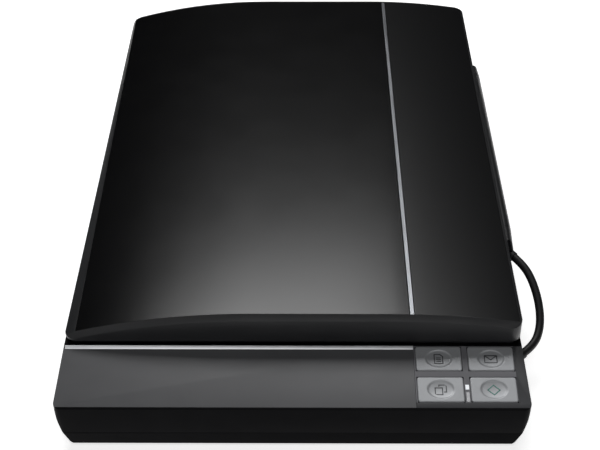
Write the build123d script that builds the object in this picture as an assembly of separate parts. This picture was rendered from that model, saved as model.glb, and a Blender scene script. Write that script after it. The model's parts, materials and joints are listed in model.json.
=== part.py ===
from build123d import *
import math
import os

# A flatbed photo scanner. X runs to the right, Y to the back and Z up, in millimetres. The origin is
# on the desk under the middle of the base. The lid is hinged along the right-hand side.

# Base housing
BASE_WIDTH = 280.0
BASE_DEPTH = 430.0
DECK_Z = 41.0
LIP_Z = 31.0
PARTING_Z = 11.5
FOOT_HEIGHT = 2.0
FLOOR_TOP_Z = 4.5
WALL = 2.4
CORNER_RADIUS = 4.5
FRONT_Y = -BASE_DEPTH / 2
REAR_Y = BASE_DEPTH / 2
# Half widths of the base going up: the sides flare like a boat's hull, then lean in to the deck.
HULL_SIDE = [(131.0, 2.0), (132.6, 3.5), (136.4, 11.5), (138.9, 21.0), (140.0, 32.0), (138.5, 41.0)]

# Sloping control strip along the front
STRIP_BACK_Y = -172.0
STRIP_LIP = 1.6
PANEL_THICKNESS = 2.2
BEZEL_X = 72.8
STRIP_RUN = STRIP_BACK_Y - FRONT_Y
STRIP_RISE = DECK_Z - LIP_Z
STRIP_ANGLE = math.atan2(STRIP_RISE, STRIP_RUN)
STRIP_PLANE = Plane(
    origin=(0, (FRONT_Y + STRIP_BACK_Y) / 2, (LIP_Z + DECK_Z) / 2),
    x_dir=(1, 0, 0),
    z_dir=(0, -math.sin(STRIP_ANGLE), math.cos(STRIP_ANGLE)),
)

# Buttons: centres on the strip plane, counted across and then from the front row to the back row
BUTTON_WIDTH = 27.4
BUTTON_DEPTH = 16.8
BUTTON_COLUMNS = (87.6, 118.9)
BUTTON_ROWS = (-8.2, 13.1)
BUTTON_GAP = 0.3
BUTTON_PROUD = 0.3
BUTTON_PLATE = 1.4
BUTTON_TRAVEL = 0.9
STEM_LENGTH = 6.5
DISH_RADIUS = 7.4
DISH_DEPTH = 0.45
LED_X = 103.25

# Scanning window and glass
WINDOW_WIDTH = 216.0
WINDOW_FRONT_Y = -150.0
WINDOW_BACK_Y = 147.0
GLASS_MARGIN = 8.0
GLASS_THICKNESS = 3.0
DECK_THICKNESS = 2.5

# Lid
HEIGHT = 67.0
LID_HALF = 138.0
LID_FRONT_Y = -172.0
LID_BACK_Y = 213.0
LID_BOTTOM_Z = 41.3
FLANGE_Z = 45.0
NECK_INSET = 2.3
SKIN = 2.0
ROOF = 2.4
CROWN_LEFT_X = -26.0
CROWN_RIGHT_X = 60.0
CROWN_LEFT_RADIUS = 390.0
CROWN_RIGHT_RADIUS = 470.0
LID_RISE = 3.4
LEFT_EDGE_X = -131.5
STRIP_LEFT_X = 70.2
STRIP_RIGHT_X = 72.8
SEAM = 0.15

# Hinge along the right side: a barrel carried on two posts that lift out of the base
HINGE_X = 140.3
HINGE_Z = 46.0
BARREL_RADIUS = 4.5
SCOOP_RADIUS = 5.2
GLAND_SCOOP_RADIUS = 7.9
PIN_RADIUS = 1.5
PIN_PLAY = 0.06
BOSS_RADII = (3.4, 3.8)
BOSS_Y = (-91.5, -81.5)
FRONT_KNUCKLE_Y = (-81.2, -67.5)
BARREL_Y = (-67.2, 125.0)
REAR_KNUCKLE_Y = (125.3, 139.0)
POST_X = (127.6, 132.4)
POST_FRONT_Y = (-98.0, -50.0)
POST_REAR_Y = (70.0, 110.0)
POST_BOTTOM_Z = 14.0
WEB_Y = [BOSS_Y, (-66.9, -52.0), (72.0, 108.0)]
WEB_SPLIT_X = 134.5
POST_PLAY = 0.3

# Document mat that slides out of the lid to the left
MAT_LEFT_X = -135.5
MAT_RIGHT_X = 108.0
MAT_FRONT_Y = -150.0
MAT_BACK_Y = 160.0
MAT_BOTTOM_Z = 41.6
SHEET_TOP_Z = 42.5
MAT_TOP_Z = 44.9
COVER_BOTTOM_Z = 45.2
COVER_TOP_Z = 47.0
SCREW_TIP_Z = 50.4
FILM_HALF_X = 40.0
FILM_HALF_Y = 125.0

# Carriage at its home place, below the back of the window
CARRIAGE_Y = 155.0
CARRIAGE_DEPTH = 46.0
CARRIAGE_HALF = 112.0
CARRIAGE_BOTTOM_Z = 14.5
CARRIAGE_TOP_Z = 34.5
CARRIAGE_WALL = 1.6
ROD_X = -60.0
ROD_Z = 10.5
ROD_RADIUS = 3.0
RAIL_X = 95.0

# Belt drive at the front left
MOTOR_X = -99.0
DRIVE_X = -75.0
DRIVE_Y = -189.0
IDLER_Y = 196.0
MOTOR_RADIUS = 16.5
TOOTH_MODULE = 0.8
PINION_TEETH = 12
GEAR_TEETH = 48
PULLEY_RADIUS = 5.0
BELT_THICKNESS = 1.2
BELT_Z = (8.0, 13.0)

# Lid cable: from the gland at the front end of the hinge to the plug in the base's right side
CABLE_DIAMETER = 5.3
CABLE_ROUTE = [
    (143.8, -92.8, 44.6),
    (149.4, -99.4, 43.2),
    (154.3, -111.0, 38.8),
    (157.2, -125.5, 31.5),
    (156.4, -139.0, 25.0),
    (151.2, -150.4, 20.9),
    (143.6, -156.6, 20.0),
]
PLUG_Y = -158.0
PLUG_Z = 20.0
GLAND_LENGTH = 6.1
GLAND_RADIUS = 3.2

FAR = 500.0


def block(x_range, y_range, z_range):
    """An upright block between two corners."""
    size = [high - low for low, high in (x_range, y_range, z_range)]
    middle = [(high + low) / 2 for low, high in (x_range, y_range, z_range)]
    return Pos(*middle) * Box(*size)


def post(x, y, z_range, radius):
    """An upright cylinder."""
    return Pos(x, y, sum(z_range) / 2) * Cylinder(radius, z_range[1] - z_range[0])


def bar_along_y(x, y_range, z, radius):
    """A cylinder that runs front to back."""
    length = y_range[1] - y_range[0]
    return Pos(x, sum(y_range) / 2, z) * Rot(90, 0, 0) * Cylinder(radius, length)


def cone_along_y(x, y_range, z, radii):
    """A round bar that runs front to back and tapers. radii are its front and back ones."""
    length = y_range[1] - y_range[0]
    return Pos(x, sum(y_range) / 2, z) * Rot(90, 0, 0) * Cone(radii[1], radii[0], length)


def prism_along_y(points, y_range):
    """An XZ outline extruded from the front Y to the back Y."""
    plane = Plane(origin=(0, y_range[1], 0), x_dir=(1, 0, 0), z_dir=(0, -1, 0))
    return extrude(plane * Polygon(*points, align=None), amount=y_range[1] - y_range[0], dir=(0, -1, 0))


def prism_along_x(points, x_range):
    """A YZ outline extruded from the left X to the right X."""
    plane = Plane(origin=(x_range[0], 0, 0), x_dir=(0, 1, 0), z_dir=(1, 0, 0))
    return extrude(plane * Polygon(*points, align=None), amount=x_range[1] - x_range[0], dir=(1, 0, 0))


def plan_block(width, y_range, radius, z_range):
    """An upright block with rounded corners in plan."""
    depth = y_range[1] - y_range[0]
    outline = Pos(0, sum(y_range) / 2, z_range[0]) * RectangleRounded(width, depth, radius)
    return extrude(outline, amount=z_range[1] - z_range[0], dir=(0, 0, 1))


def write(node, shape):
    """Write one node as one STEP file."""
    shape.label = node
    export_step(shape, os.path.join("parts", node + ".step"))


# Base ---------------------------------------------------------------------------------------------


def strip_surface(y):
    """Height of the sloping strip at a given Y."""
    return LIP_Z + (y - FRONT_Y) * STRIP_RISE / STRIP_RUN


def base_form(inset, roof):
    """The whole base's outer form, drawn in by inset on every side and lowered by roof on top."""
    right = [(half - inset, z) for half, z in HULL_SIDE]
    left = [(-x, z) for x, z in reversed(right)]
    hull = prism_along_y(right + left, (FRONT_Y, REAR_Y))
    y_range = (FRONT_Y + inset, REAR_Y - inset)
    plan = plan_block(BASE_WIDTH - 2 * inset, y_range, CORNER_RADIUS - inset, (0, HEIGHT))
    side = prism_along_x(
        [
            (FRONT_Y + inset, 0),
            (FRONT_Y + inset, strip_surface(FRONT_Y + inset) - roof),
            (STRIP_BACK_Y, DECK_Z - roof),
            (REAR_Y - inset, DECK_Z - roof),
            (REAR_Y - inset, 0),
        ],
        (-BASE_WIDTH, BASE_WIDTH),
    )
    return hull & plan & side


def strip_zone():
    """Room for the panel and the bezel on top of the housing's front slope."""
    front = FRONT_Y + STRIP_LIP
    return prism_along_x(
        [
            (front, strip_surface(front) - PANEL_THICKNESS),
            (STRIP_BACK_Y, DECK_Z - PANEL_THICKNESS),
            (STRIP_BACK_Y, HEIGHT),
            (front, HEIGHT),
        ],
        (-BASE_WIDTH, BASE_WIDTH),
    )


HOUSING_SCREWS = [(x, y) for x in (-122.0, 122.0) for y in (-200.0, 0.0, 200.0)]
SCREW_BOSS_RADIUS = 3.2
FEET = [(x, y) for x in (-108.0, 108.0) for y in (-192.0, 192.0)]


def base_lower_housing():
    """The tray: floor, low walls, the rod's saddles, the rail's seat and the screw holes."""
    tray = base_form(0, 0) & block((-FAR, FAR), (-FAR, FAR), (0, PARTING_Z))
    tray -= base_form(WALL, 0) & block((-FAR, FAR), (-FAR, FAR), (FLOOR_TOP_Z, FAR))
    for y in (-203.0, 207.0):
        saddle = block((ROD_X - 5, ROD_X + 5), (y - 3, y + 3), (FLOOR_TOP_Z, ROD_Z))
        tray += saddle - bar_along_y(ROD_X, (y - 4, y + 4), ROD_Z, ROD_RADIUS)
    for x, y in HOUSING_SCREWS:
        tray -= post(x, y, (0, FLOOR_TOP_Z + 1), 1.7)
        tray -= post(x, y, (0, FOOT_HEIGHT + 1.1), 3.0)
    tray -= block((20, 40), (150.5, 159.5), (0, FLOOR_TOP_Z + 1))
    for x in (-9.0, 55.0, 100.0):
        for y in (187.0, 205.0):
            tray += post(x, y, (FLOOR_TOP_Z, 9.0), 2.2)
    return tray


def socket_block(y_range):
    """The guide that a hinge post slides in."""
    x_range = (POST_X[0] - 2.3, POST_X[1] + 2.3)
    return block(x_range, (y_range[0] - 2.3, y_range[1] + 2.3), (POST_BOTTOM_Z - 1.8, DECK_Z - 1))


def post_hole(y_range):
    """The space inside one guide."""
    x_range = (POST_X[0] - POST_PLAY, POST_X[1] + POST_PLAY)
    y_hole = (y_range[0] - POST_PLAY, y_range[1] + POST_PLAY)
    return block(x_range, y_hole, (POST_BOTTOM_Z - 0.3, HEIGHT))


USB_X = 40.0
DC_X = 75.0
INLET_Z = 19.6
SOCKET_BOTTOM_Z = 14.1


def base_upper_housing():
    """The frame round the glass, with the front slope, the hinge guides and the socket windows."""
    above = block((-FAR, FAR), (-FAR, FAR), (PARTING_Z, FAR))
    frame = base_form(0, 0) & above
    frame -= base_form(WALL, DECK_THICKNESS + WALL) & block((-FAR, FAR), (-FAR, STRIP_BACK_Y), (0, FAR))
    frame -= base_form(WALL, DECK_THICKNESS) & block((-FAR, FAR), (STRIP_BACK_Y, FAR), (0, FAR))
    inside = base_form(WALL / 2, 0)
    for x, y in HOUSING_SCREWS:
        frame += post(x, y, (FLOOR_TOP_Z, 18.0), SCREW_BOSS_RADIUS)
        frame += block(sorted((x, math.copysign(140, x))), (y - 1, y + 1), (PARTING_Z, 18.0)) & inside
    for y_range in (POST_FRONT_Y, POST_REAR_Y):
        frame += socket_block(y_range) & inside
    for y_range in (POST_FRONT_Y, POST_REAR_Y):
        frame -= post_hole(y_range)
    for x, y in HOUSING_SCREWS:
        frame -= post(x, y, (0, 18), 1.55)
    half = WINDOW_WIDTH / 2
    frame -= block((-half, half), (WINDOW_FRONT_Y, WINDOW_BACK_Y), (30, 60))
    frame -= strip_zone()
    for x in BUTTON_COLUMNS:
        for y in BUTTON_ROWS:
            frame -= STRIP_PLANE.location * Pos(x, y, 0) * Cylinder(3.3, 14)
    frame -= block((USB_X - 6.3, USB_X + 6.3), (REAR_Y - 5, REAR_Y + 5), (INLET_Z - 5.8, INLET_Z + 5.8))
    frame -= block((DC_X - 5.3, DC_X + 5.3), (REAR_Y - 5, REAR_Y + 5), (INLET_Z - 5.8, INLET_Z + 5.8))
    frame -= block((130, 150), (PLUG_Y - 5.2, PLUG_Y + 5.2), (PLUG_Z - 4.7, PLUG_Z + 4.7))
    return frame


def scanner_glass():
    """The glass plate, bonded under the window's edge."""
    half = WINDOW_WIDTH / 2 + GLASS_MARGIN
    y_range = (WINDOW_FRONT_Y - GLASS_MARGIN, WINDOW_BACK_Y + GLASS_MARGIN)
    top = DECK_Z - DECK_THICKNESS
    return block((-half, half), y_range, (top - GLASS_THICKNESS, top))


def calibration_strip():
    """The white reference strip on the deck's underside behind the window."""
    top = DECK_Z - DECK_THICKNESS
    back = WINDOW_BACK_Y + GLASS_MARGIN
    return block((-110, 110), (back + 0.5, back + 12.5), (top - 0.8, top))


def front_panel():
    """The sloping strip to the left of the buttons."""
    return base_form(0, 0) & strip_zone() & block((-FAR, BEZEL_X - SEAM), (-FAR, FAR), (0, FAR))


def button_bezel():
    """The right-hand end of the strip, with four button wells and two slots for the light."""
    bezel = base_form(0, 0) & strip_zone() & block((BEZEL_X, FAR), (-FAR, FAR), (0, FAR))
    for x in BUTTON_COLUMNS:
        for y in BUTTON_ROWS:
            well = Box(BUTTON_WIDTH + 2 * BUTTON_GAP, BUTTON_DEPTH + 2 * BUTTON_GAP, 12)
            bezel -= STRIP_PLANE.location * Pos(x, y, 0) * well
    bezel -= STRIP_PLANE.location * Pos(LED_X, -6.6, 0) * Box(2.2, 3.2, 12)
    bezel -= STRIP_PLANE.location * Pos(LED_X, -13.2, 0) * Box(2.0, 6.6, 12)
    return bezel


def button(x, y):
    """A flat key with a round finger dish and a stem that reaches down to its switch."""
    top = BUTTON_PROUD
    plate = Pos(0, 0, top - BUTTON_PLATE / 2) * Box(BUTTON_WIDTH, BUTTON_DEPTH, BUTTON_PLATE)
    plate = fillet(plate.edges().filter_by(Axis.Z), 1.6)
    plate = fillet(plate.faces().sort_by(Axis.Z)[-1].edges(), 0.4)
    sphere_radius = (DISH_RADIUS**2 + DISH_DEPTH**2) / (2 * DISH_DEPTH)
    plate -= Pos(0, 0, top - DISH_DEPTH + sphere_radius) * Sphere(sphere_radius)
    bottom = top - BUTTON_PLATE
    stem = Pos(0, 0, bottom - STEM_LENGTH / 2) * Cylinder(2.5, STEM_LENGTH)
    return STRIP_PLANE.location * Pos(x, y, 0) * (plate + stem)


def front_chrome_trim():
    """The bright line between the strip and the lid."""
    bar = Pos(0, 20.6, 0) * Box(600, 2.2, 1.8)
    bar = STRIP_PLANE.location * bar
    bar &= block((-137.6, BEZEL_X - SEAM), (-FAR, FAR), (0, FAR))
    return bar - (base_form(0, 0) & strip_zone())


def status_led_lens():
    """The clear lens of the status light."""
    return STRIP_PLANE.location * Pos(LED_X, -6.6, -0.85) * Box(2.1, 3.1, 2.3)


def led_trim_bar():
    """The small bright bar in front of the status light."""
    return STRIP_PLANE.location * Pos(LED_X, -13.2, -0.9) * Box(1.9, 6.5, 2.2)


def button_board():
    """The circuit board under the buttons, with its four switches."""
    surface = BUTTON_PROUD - BUTTON_PLATE - STEM_LENGTH - BUTTON_TRAVEL - 0.1
    board = Pos(LED_X, 2.4, surface - 2.0) * Box(58, 36, 1.6)
    for x in BUTTON_COLUMNS:
        for y in BUTTON_ROWS:
            board += Pos(x, y, surface - 0.6) * Box(6, 6, 1.2)
    return STRIP_PLANE.location * board


def main_board():
    """The controller board at the back, with its larger chips."""
    board = block((-15, 106), (182, 210), (9.0, 10.6))
    for x, size in ((0, 14), (22, 10), (96, 9)):
        board += block((x - size / 2, x + size / 2), (188, 188 + size), (10.6, 12.2))
    return board


def usb_socket():
    """A square USB-B receptacle that opens through the back wall."""
    shell = block((USB_X - 6.0, USB_X + 6.0), (197.5, 213.8), (SOCKET_BOTTOM_Z, 25.1))
    shell -= block((USB_X - 4.3, USB_X + 4.3), (204.0, 220.0), (INLET_Z - 4.0, INLET_Z + 4.0))
    tongue = block((USB_X - 2.8, USB_X + 2.8), (203.0, 211.5), (INLET_Z - 1.2, INLET_Z + 1.6))
    seat = block((USB_X - 5.0, USB_X + 5.0), (198.5, 211.0), (10.6, 14.1))
    return shell + tongue + seat


def dc_inlet():
    """The round power inlet beside it."""
    body = block((DC_X - 5.0, DC_X + 5.0), (199.0, 213.8), (SOCKET_BOTTOM_Z, 25.1))
    body += block((DC_X - 4.0, DC_X + 4.0), (200.0, 211.0), (10.6, 14.1))
    body -= bar_along_y(DC_X, (203.0, 220.0), INLET_Z, 3.4)
    return body + bar_along_y(DC_X, (202.5, 212.0), INLET_Z, 1.0)


def option_socket():
    """The receptacle inside the right wall for the lid cable's plug."""
    body = block((123.5, 134.0), (PLUG_Y - 5.0, PLUG_Y + 5.0), (PLUG_Z - 4.5, PLUG_Z + 4.5))
    return body - block((126.5, 140.0), (PLUG_Y - 3.4, PLUG_Y + 3.4), (PLUG_Z - 2.4, PLUG_Z + 2.4))


def rubber_feet():
    """Four round feet under the tray."""
    feet = Part()
    for x, y in FEET:
        foot = post(x, y, (0, FOOT_HEIGHT), 8.0)
        feet += chamfer(foot.faces().sort_by(Axis.Z)[0].edges(), 0.6)
    return feet


def housing_screws():
    """Six screws that hold the two housings together."""
    screws = Part()
    for x, y in HOUSING_SCREWS:
        screws += post(x, y, (FOOT_HEIGHT + 1.1 - 0.9, FOOT_HEIGHT + 1.1), 2.8)
        screws += post(x, y, (FOOT_HEIGHT + 1.1, 16.0), 1.5)
    return screws


def guide_rod():
    """The steel rod that the carriage slides on."""
    return bar_along_y(ROD_X, (-206.0, 210.0), ROD_Z, ROD_RADIUS)


def guide_rail():
    """The flat rail under the carriage's free end."""
    rail = block((RAIL_X - 6, RAIL_X + 6), (-200.0, 180.0), (FLOOR_TOP_Z, 6.0))
    return rail + block((RAIL_X - 1, RAIL_X + 1), (-200.0, 180.0), (6.0, 13.2))


def stepper_motor():
    """The flat round motor with its mounting plate and shaft."""
    can = post(MOTOR_X, DRIVE_Y, (FLOOR_TOP_Z, 20.0), MOTOR_RADIUS)
    can = fillet(can.faces().sort_by(Axis.Z)[0].edges(), 1.5)
    shaft = post(MOTOR_X, DRIVE_Y, (20.0, 27.8), 1.5)
    return can + shaft


def motor_bracket():
    """The folded plate over the motor, with the drive gear's axle in it."""
    left, right = MOTOR_X - 18.6, DRIVE_X + 9.4
    plate = block((left, right), (-203.5, -171.5), (21.0, 22.2))
    plate -= post(MOTOR_X, DRIVE_Y, (10, 30), 4.0)
    plate -= post(DRIVE_X, DRIVE_Y, (10, 30), PULLEY_RADIUS + BELT_THICKNESS + 1.5)
    plate -= block((DRIVE_X - 8, DRIVE_X + 8), (DRIVE_Y, -165.0), (10, 30))
    legs = block((left, left + 1.5), (-196.0, -171.5), (FLOOR_TOP_Z, 21.0))
    legs += block((right, right + 1.2), (-199.5, -171.5), (FLOOR_TOP_Z, 22.2))
    foot = post(DRIVE_X, DRIVE_Y, (FLOOR_TOP_Z, 6.8), 4.0)
    axle = post(DRIVE_X, DRIVE_Y, (6.8, 28.0), 1.5)
    bridge = block((DRIVE_X, right), (DRIVE_Y - 2, DRIVE_Y + 2), (FLOOR_TOP_Z, 6.0))
    return plate + legs + foot + axle + bridge


def toothed_disc(teeth, z_range, bore):
    """A spur wheel centred on Z with slim straight-sided teeth."""
    pitch_radius = TOOTH_MODULE * teeth / 2
    root = pitch_radius - 1.05 * TOOTH_MODULE
    tip = pitch_radius + 0.75 * TOOTH_MODULE
    pitch = math.pi * TOOTH_MODULE
    tooth = Polygon(
        (root - 0.5, -0.25 * pitch),
        (root, -0.25 * pitch),
        (tip, -0.08 * pitch),
        (tip, 0.08 * pitch),
        (root, 0.25 * pitch),
        (root - 0.5, 0.25 * pitch),
        align=None,
    )
    outline = Circle(root)
    for index in range(teeth):
        outline += Rot(0, 0, 360 * index / teeth) * tooth
    outline -= Circle(bore)
    return Pos(0, 0, z_range[0]) * extrude(outline, amount=z_range[1] - z_range[0], dir=(0, 0, 1))


def motor_pinion():
    """The small wheel on the motor's shaft. A tooth gap faces the gear."""
    wheel = Rot(0, 0, 180 / PINION_TEETH) * toothed_disc(PINION_TEETH, (23.0, 27.0), 1.55)
    return Pos(MOTOR_X, DRIVE_Y, 0) * wheel


def flanged_pulley(bore):
    """A belt pulley with a thin flange below and above the belt."""
    low, high = BELT_Z
    pulley = post(0, 0, (low - 0.2, high + 0.2), PULLEY_RADIUS)
    pulley += post(0, 0, (low - 0.9, low - 0.2), PULLEY_RADIUS + BELT_THICKNESS)
    return pulley - post(0, 0, (0, 60), bore)


def drive_gear():
    """The large wheel and the belt pulley under it, in one moulding. A tooth faces the pinion."""
    wheel = Rot(0, 0, 180) * toothed_disc(GEAR_TEETH, (23.0, 27.0), 1.56)
    hub = post(0, 0, (BELT_Z[1] + 0.2, 23.0), PULLEY_RADIUS) - post(0, 0, (0, 60), 1.56)
    return Pos(DRIVE_X, DRIVE_Y, 0) * (wheel + hub + flanged_pulley(1.56))


def idler_pulley():
    """The free pulley at the back."""
    return Pos(DRIVE_X, IDLER_Y, 0) * flanged_pulley(1.56)


def belt_tensioner():
    """The sliding block that carries the free pulley's axle."""
    arm = block((DRIVE_X - 5, DRIVE_X + 5), (IDLER_Y - 5, IDLER_Y + 9), (FLOOR_TOP_Z, 6.8))
    arm += block((DRIVE_X - 5, DRIVE_X + 5), (IDLER_Y + 7, IDLER_Y + 9), (6.8, 12.5))
    return arm + post(DRIVE_X, IDLER_Y, (6.8, 14.2), 1.5)


def tensioner_spring():
    """The coil spring that pulls the tensioner back, as its outer tube."""
    spring = bar_along_y(DRIVE_X, (IDLER_Y + 9.0, REAR_Y - WALL), 9.0, 2.2)
    return spring - bar_along_y(DRIVE_X, (IDLER_Y + 9.0, REAR_Y - WALL), 9.0, 1.4)


def timing_belt():
    """The belt: a flat loop round the two pulleys."""
    span = IDLER_Y - DRIVE_Y
    middle = (IDLER_Y + DRIVE_Y) / 2
    play = 0.05
    inner = SlotCenterToCenter(span, 2 * (PULLEY_RADIUS + play))
    outer = SlotCenterToCenter(span, 2 * (PULLEY_RADIUS + BELT_THICKNESS))
    loop = Pos(DRIVE_X, middle, BELT_Z[0]) * Rot(0, 0, 90) * (outer - inner)
    return extrude(loop, amount=BELT_Z[1] - BELT_Z[0], dir=(0, 0, 1))


FLEX_X = (62.0, 76.0)
FLEX_THICKNESS = 0.4
FLEX_TURN_Y = -4.0


def carriage_flex():
    """The flat cable: along the floor from the board, over a bend, and back to the carriage."""
    t = FLEX_THICKNESS
    low, high = 5.6, CARRIAGE_BOTTOM_Z - 0.1
    middle = (low + high) / 2
    radius = (high - low) / 2
    outer = [
        Line((178.0, low), (FLEX_TURN_Y, low)),
        ThreePointArc((FLEX_TURN_Y, low), (FLEX_TURN_Y - radius, middle), (FLEX_TURN_Y, high)),
        Line((FLEX_TURN_Y, high), (CARRIAGE_Y - 10, high)),
    ]
    closing = [
        Line((CARRIAGE_Y - 10, high), (CARRIAGE_Y - 10, high - t)),
        Line((CARRIAGE_Y - 10, high - t), (FLEX_TURN_Y, high - t)),
        ThreePointArc((FLEX_TURN_Y, high - t), (FLEX_TURN_Y - radius + t, middle), (FLEX_TURN_Y, low + t)),
        Line((FLEX_TURN_Y, low + t), (178.0, low + t)),
        Line((178.0, low + t), (178.0, low)),
    ]
    face = make_face(Curve() + outer + closing)
    plane = Plane(origin=(FLEX_X[0], 0, 0), x_dir=(0, 1, 0), z_dir=(1, 0, 0))
    return extrude(plane * face, amount=FLEX_X[1] - FLEX_X[0], dir=(1, 0, 0))


def transport_lock():
    """The slider under the tray, with a fork that traps the carriage for shipping."""
    slider = block((20.3, 31.7), (151.0, 159.0), (2.3, 5.0))
    plate = block((16.0, 31.7), (148.0, 162.0), (5.0, 6.2))
    grip = block((25.5, 27.0), (151.5, 158.5), (1.3, 2.3))
    fork = block((19.0, 30.0), (150.0, 153.6), (6.2, 12.0))
    fork += block((19.0, 30.0), (156.4, 160.0), (6.2, 12.0))
    fork += block((17.0, 19.0), (150.0, 160.0), (6.2, 12.0))
    return slider + plate + grip + fork


# Carriage -----------------------------------------------------------------------------------------


def carriage_span(inset):
    """The carriage's Y range, drawn in by inset."""
    return (CARRIAGE_Y - CARRIAGE_DEPTH / 2 + inset, CARRIAGE_Y + CARRIAGE_DEPTH / 2 - inset)


def carriage_housing():
    """The open tray that carries the optics, with the rod's bearing block and the lock tab."""
    t = CARRIAGE_WALL
    half = CARRIAGE_HALF
    tray = block((-half, half), carriage_span(0), (CARRIAGE_BOTTOM_Z, CARRIAGE_TOP_Z))
    tray -= block((-half + t, half - t), carriage_span(t), (CARRIAGE_BOTTOM_Z + t, FAR))
    bearing = block((ROD_X - 7, ROD_X + 7), carriage_span(0), (5.0, CARRIAGE_BOTTOM_Z))
    tray += bearing
    tray -= bar_along_y(ROD_X, (0, FAR), ROD_Z, ROD_RADIUS + 1.5)
    tray += block((32.5, 36.5), (CARRIAGE_Y - 1.0, CARRIAGE_Y + 1.0), (7.0, CARRIAGE_BOTTOM_Z))
    tray += block((RAIL_X - 6, RAIL_X + 6), (CARRIAGE_Y - 8, CARRIAGE_Y + 8), (13.6, CARRIAGE_BOTTOM_Z))
    return tray


def rod_bushings():
    """Two plain bearings on the rod."""
    rings = Part()
    for y in (CARRIAGE_Y - 18, CARRIAGE_Y + 18):
        ring = bar_along_y(ROD_X, (y - 5, y + 5), ROD_Z, ROD_RADIUS + 1.5)
        rings += ring - bar_along_y(ROD_X, (y - 6, y + 6), ROD_Z, ROD_RADIUS + 0.05)
    return rings


def glide_pad():
    """The slippery shoe that rests on the rail."""
    return block((RAIL_X - 3, RAIL_X + 3), (CARRIAGE_Y - 6, CARRIAGE_Y + 6), (13.25, 13.6))


def belt_clip():
    """The clip that grips the belt's right-hand run."""
    run_x = DRIVE_X + PULLEY_RADIUS + BELT_THICKNESS / 2
    clip = block((run_x - 2.0, run_x + 2.0), (CARRIAGE_Y - 9, CARRIAGE_Y + 9), (9.5, CARRIAGE_BOTTOM_Z))
    gap = BELT_THICKNESS / 2 + 0.3
    slot = block((run_x - gap, run_x + gap), (CARRIAGE_Y - 10, CARRIAGE_Y + 10), (9, BELT_Z[1] + 0.3))
    return clip - slot


def led_light_bar():
    """The two rows of lamps on their carrier, just under the glass."""
    bar = block((-108, 108), (CARRIAGE_Y - 18, CARRIAGE_Y - 6), (30.5, 32.0))
    for index in range(18):
        x = -102 + 12 * index
        bar += block((x - 1.5, x + 1.5), (CARRIAGE_Y - 13.5, CARRIAGE_Y - 10.5), (32.0, 32.8))
    return bar


def light_guides():
    """The clear rods that spread the lamps' light over the scan line."""
    rods = Part()
    for y in (CARRIAGE_Y - 3.6, CARRIAGE_Y + 3.6):
        rods += Pos(0, y, 32.0) * Rot(0, 90, 0) * Cylinder(1.8, 214)
    return rods


MIRRORS = [(12.0, 21.0, 45.0), (-14.0, 21.0, -45.0), (-14.0, 27.0, 48.0), (12.0, 27.0, -48.0)]


def carriage_mirrors():
    """Four long narrow mirrors that fold the light path."""
    strips = Part()
    for offset, z, tilt in MIRRORS:
        strips += Pos(0, CARRIAGE_Y + offset, z) * Rot(tilt, 0, 0) * Box(196, 5.0, 1.2)
    return strips


def lens_barrel():
    """The lens in its clamp, low in the middle of the carriage."""
    low = CARRIAGE_BOTTOM_Z + CARRIAGE_WALL
    clamp = block((-7, 7), (CARRIAGE_Y - 7, CARRIAGE_Y + 4), (low, low + 3.0))
    barrel = bar_along_y(0, (CARRIAGE_Y - 8, CARRIAGE_Y + 6), low + 5.6, 5.0)
    return clamp + barrel


def sensor_board():
    """The image sensor on its upright board."""
    low = CARRIAGE_BOTTOM_Z + CARRIAGE_WALL
    board = block((-38, 38), (CARRIAGE_Y - 21.0, CARRIAGE_Y - 19.6), (low, 29.5))
    return board + block((-30, 30), (CARRIAGE_Y - 19.6, CARRIAGE_Y - 18.2), (19.0, 24.0))


# Lid ----------------------------------------------------------------------------------------------


def crown(x, y):
    """Height of the lid's top: arched from side to side, and lower at the front than at the back."""
    top = HEIGHT - LID_RISE * (LID_BACK_Y - y) / (LID_BACK_Y - LID_FRONT_Y)
    if x < CROWN_LEFT_X:
        radius, run = CROWN_LEFT_RADIUS, CROWN_LEFT_X - x
    elif x > CROWN_RIGHT_X:
        radius, run = CROWN_RIGHT_RADIUS, x - CROWN_RIGHT_X
    else:
        return top
    return top - radius + math.sqrt(radius**2 - run**2)


def crown_line(x0, x1, y, drop):
    """The arched top line from x0 to x1 at a given Y, lowered by drop, as lines and true arcs."""
    stops = [x0] + [x for x in (CROWN_LEFT_X, CROWN_RIGHT_X) if x0 < x < x1] + [x1]
    pieces = []
    for start, end in zip(stops, stops[1:]):
        first, middle, last = [(x, crown(x, y) - drop) for x in (start, (start + end) / 2, end)]
        flat = start >= CROWN_LEFT_X and end <= CROWN_RIGHT_X
        pieces.append(Line(first, last) if flat else ThreePointArc(first, middle, last))
    return pieces


def arch_face(x_range, y, drop, edge_z):
    """The region at a given Y between the arched line and a level line at edge_z."""
    x0, x1 = x_range
    ends = [
        Line((x1, crown(x1, y) - drop), (x1, edge_z)),
        Line((x1, edge_z), (x0, edge_z)),
        Line((x0, edge_z), (x0, crown(x0, y) - drop)),
    ]
    face = make_face(Curve() + crown_line(x0, x1, y, drop) + ends)
    return Plane(origin=(0, y, 0), x_dir=(1, 0, 0), z_dir=(0, -1, 0)) * face


def arch_prism(x_range, y_range, drop, edge_z):
    """That region carried from the back Y to the front Y, down the lid's gentle slope."""
    front, back = y_range
    fall = crown(0, back) - crown(0, front)
    length = math.hypot(back - front, fall)
    return extrude(arch_face(x_range, back, drop, edge_z), amount=length, dir=(0, front - back, -fall))


LID_Y = (LID_FRONT_Y, LID_BACK_Y)
CHAMFER_RUN = 3.8
CHAMFER_FALL = 2.4
CAVITY_X = (-120.0, 124.5)
CAVITY_Y = (-168.0, 209.0)


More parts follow.
